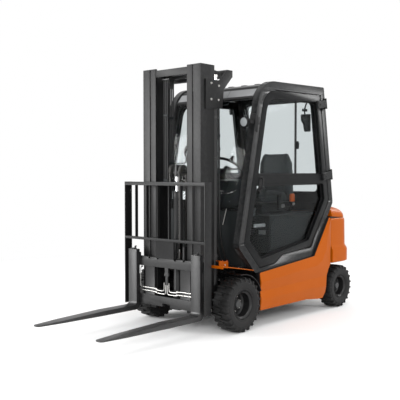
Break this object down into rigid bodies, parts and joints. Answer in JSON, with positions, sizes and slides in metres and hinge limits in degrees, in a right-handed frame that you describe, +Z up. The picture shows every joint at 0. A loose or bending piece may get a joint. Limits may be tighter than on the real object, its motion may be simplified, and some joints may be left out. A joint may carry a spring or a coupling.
{
  "type": "forklift",
  "caption": "Compact electric counterbalance forklift with a closed driver's cab, telescopic mast, sideshift carriage with load backrest, and pallet forks.",
  "frame": {"origin": "on the ground, at the middle of the truck's bounding box, forks included", "axes": "+X is the truck's left side, -Y is forwards (the forks point that way), +Z is up"},
  "size_m": [1.112, 3.199, 2.18],
  "materials": {
    "body_orange": "satin orange paint over steel and cast iron",
    "cab_grey": "satin dark grey paint",
    "dark_plastic": "matte moulded plastic",
    "mast_grey": "satin dark grey paint on rolled steel",
    "fork_black": "satin black paint on forged steel",
    "chassis_black": "matte black paint",
    "battery_case": "matte black cell cases in a tray",
    "rubber": "matte black rubber",
    "rim_black": "satin black paint",
    "chrome": "polished",
    "clear_glass": "clear",
    "seat_vinyl": "matte grained vinyl"
  },
  "bodies": {
    "chassis": {"chassis": "body_orange", "front_fender_left": "body_orange", "front_fender_right": "body_orange", "counterweight": "body_orange", "battery": "battery_case", "battery_hood": "dark_plastic", "floor_plate": "chassis_black", "dash_cowl": "dark_plastic", "seat_base": "dark_plastic", "seat_cushion": "seat_vinyl", "seat_back": "seat_vinyl", "armrest_console": "dark_plastic", "cab_side_left": "cab_grey", "cab_side_right": "cab_grey", "cab_roof": "cab_grey", "windscreen": "clear_glass", "cab_rear_frame": "cab_grey", "rear_window": "clear_glass", "drive_axle": "chassis_black", "steer_axle": "chassis_black"},
    "steering_wheel": {"steering_wheel": "dark_plastic"},
    "door_left": {"door_left": "cab_grey", "door_glass_left": "clear_glass"},
    "door_right": {"door_right": "cab_grey", "door_glass_right": "clear_glass"},
    "knuckle_left": {"knuckle_left": "chassis_black"},
    "knuckle_right": {"knuckle_right": "chassis_black"},
    "wheel_front_left": {"tyre_front_left": "rubber", "rim_front_left": "rim_black"},
    "wheel_front_right": {"tyre_front_right": "rubber", "rim_front_right": "rim_black"},
    "wheel_rear_left": {"tyre_rear_left": "rubber", "rim_rear_left": "rim_black"},
    "wheel_rear_right": {"tyre_rear_right": "rubber", "rim_rear_right": "rim_black"},
    "mast_outer": {"mast_outer": "mast_grey", "lift_barrel_left": "mast_grey", "lift_barrel_right": "mast_grey"},
    "mast_inner": {"mast_inner": "mast_grey", "lift_rod_left": "chrome", "lift_rod_right": "chrome", "free_lift_barrel": "mast_grey"},
    "free_lift": {"free_lift_ram": "chrome"},
    "carriage": {"carriage": "mast_grey"},
    "side_shift": {"side_shift_frame": "mast_grey", "load_backrest": "mast_grey"},
    "fork_left": {"fork_left": "fork_black"},
    "fork_right": {"fork_right": "fork_black"},
    "tilt_barrel_left": {"tilt_barrel_left": "chassis_black"},
    "tilt_barrel_right": {"tilt_barrel_right": "chassis_black"},
    "tilt_rod_left": {"tilt_rod_left": "chrome"},
    "tilt_rod_right": {"tilt_rod_right": "chrome"}
  },
  "joints": [
    {"name": "steering_wheel_spin", "type": "hinge", "parent": "chassis", "child": "steering_wheel", "pos_m": [0, 0.2395, 1.345], "axis": [0, 0.6157, 0.788], "continuous": true},
    {"name": "door_left_hinge", "type": "hinge", "parent": "chassis", "child": "door_left", "pos_m": [0.525, 1.16996, 1.2], "axis": [0, -0.1566, 0.9877], "range_deg": [0, 95]},
    {"name": "door_right_hinge", "type": "hinge", "parent": "chassis", "child": "door_right", "pos_m": [-0.525, 1.16996, 1.2], "axis": [0, 0.1566, -0.9877], "range_deg": [0, 95]},
    {"name": "wheel_front_left_spin", "type": "hinge", "parent": "chassis", "child": "wheel_front_left", "pos_m": [0.472, -0.2155, 0.2274], "axis": [1, 0, 0], "continuous": true},
    {"name": "wheel_front_right_spin", "type": "hinge", "parent": "chassis", "child": "wheel_front_right", "pos_m": [-0.472, -0.2155, 0.2274], "axis": [1, 0, 0], "continuous": true},
    {"name": "steer_left", "type": "hinge", "parent": "chassis", "child": "knuckle_left", "pos_m": [0.358, 1.2995, 0.20401], "axis": [0, 0, 1], "range_deg": [-65, 65]},
    {"name": "steer_right", "type": "hinge", "parent": "chassis", "child": "knuckle_right", "pos_m": [-0.358, 1.2995, 0.20401], "axis": [0, 0, 1], "range_deg": [-65, 65]},
    {"name": "wheel_rear_left_spin", "type": "hinge", "parent": "knuckle_left", "child": "wheel_rear_left", "pos_m": [0.478, 1.2995, 0.20401], "axis": [1, 0, 0], "continuous": true},
    {"name": "wheel_rear_right_spin", "type": "hinge", "parent": "knuckle_right", "child": "wheel_rear_right", "pos_m": [-0.478, 1.2995, 0.20401], "axis": [1, 0, 0], "continuous": true},
    {"name": "mast_tilt", "type": "hinge", "parent": "chassis", "child": "mast_outer", "pos_m": [0, -0.2155, 0.2274], "axis": [1, 0, 0], "range_deg": [-6, 5]},
    {"name": "mast_lift", "type": "slide", "parent": "mast_outer", "child": "mast_inner", "axis": [0, 0, 1], "range_m": [0, 1.45]},
    {"name": "carriage_lift", "type": "slide", "parent": "mast_inner", "child": "carriage", "axis": [0, 0, 1], "range_m": [-0.1, 1.25]},
    {"name": "free_lift_extend", "type": "slide", "parent": "mast_inner", "child": "free_lift", "axis": [0, 0, 1], "range_m": [-0.051, 0.63]},
    {"name": "side_shift", "type": "slide", "parent": "carriage", "child": "side_shift", "axis": [1, 0, 0], "range_m": [-0.08, 0.08]},
    {"name": "fork_left_spread", "type": "slide", "parent": "side_shift", "child": "fork_left", "axis": [1, 0, 0], "range_m": [-0.2, 0.028]},
    {"name": "fork_right_spread", "type": "slide", "parent": "side_shift", "child": "fork_right", "axis": [-1, 0, 0], "range_m": [-0.2, 0.028]},
    {"name": "tilt_barrel_left_swing", "type": "hinge", "parent": "chassis", "child": "tilt_barrel_left", "pos_m": [0.305, 0.0045, 0.395], "axis": [1, 0, 0], "range_deg": [-0.5, 0.5]},
    {"name": "tilt_rod_left_extend", "type": "slide", "parent": "tilt_barrel_left", "child": "tilt_rod_left", "axis": [0, -0.9998, 0.0215], "range_m": [-0.02, 0.017]},
    {"name": "tilt_barrel_right_swing", "type": "hinge", "parent": "chassis", "child": "tilt_barrel_right", "pos_m": [-0.305, 0.0045, 0.395], "axis": [1, 0, 0], "range_deg": [-0.5, 0.5]},
    {"name": "tilt_rod_right_extend", "type": "slide", "parent": "tilt_barrel_right", "child": "tilt_rod_right", "axis": [0, -0.9998, 0.0215], "range_m": [-0.02, 0.017]}
  ],
  "couplings": [
    {"joint": "steer_right", "follows": "steer_left", "ratio": 1},
    {"joint": "free_lift_extend", "follows": "carriage_lift", "ratio": 0.5},
    {"joint": "fork_right_spread", "follows": "fork_left_spread", "ratio": 1},
    {"joint": "tilt_barrel_left_swing", "follows": "mast_tilt", "ratio": 0.0578},
    {"joint": "tilt_rod_left_extend", "follows": "mast_tilt", "m_per_rad": 0.1723},
    {"joint": "tilt_barrel_right_swing", "follows": "mast_tilt", "ratio": 0.0578},
    {"joint": "tilt_rod_right_extend", "follows": "mast_tilt", "m_per_rad": 0.1723}
  ]
}
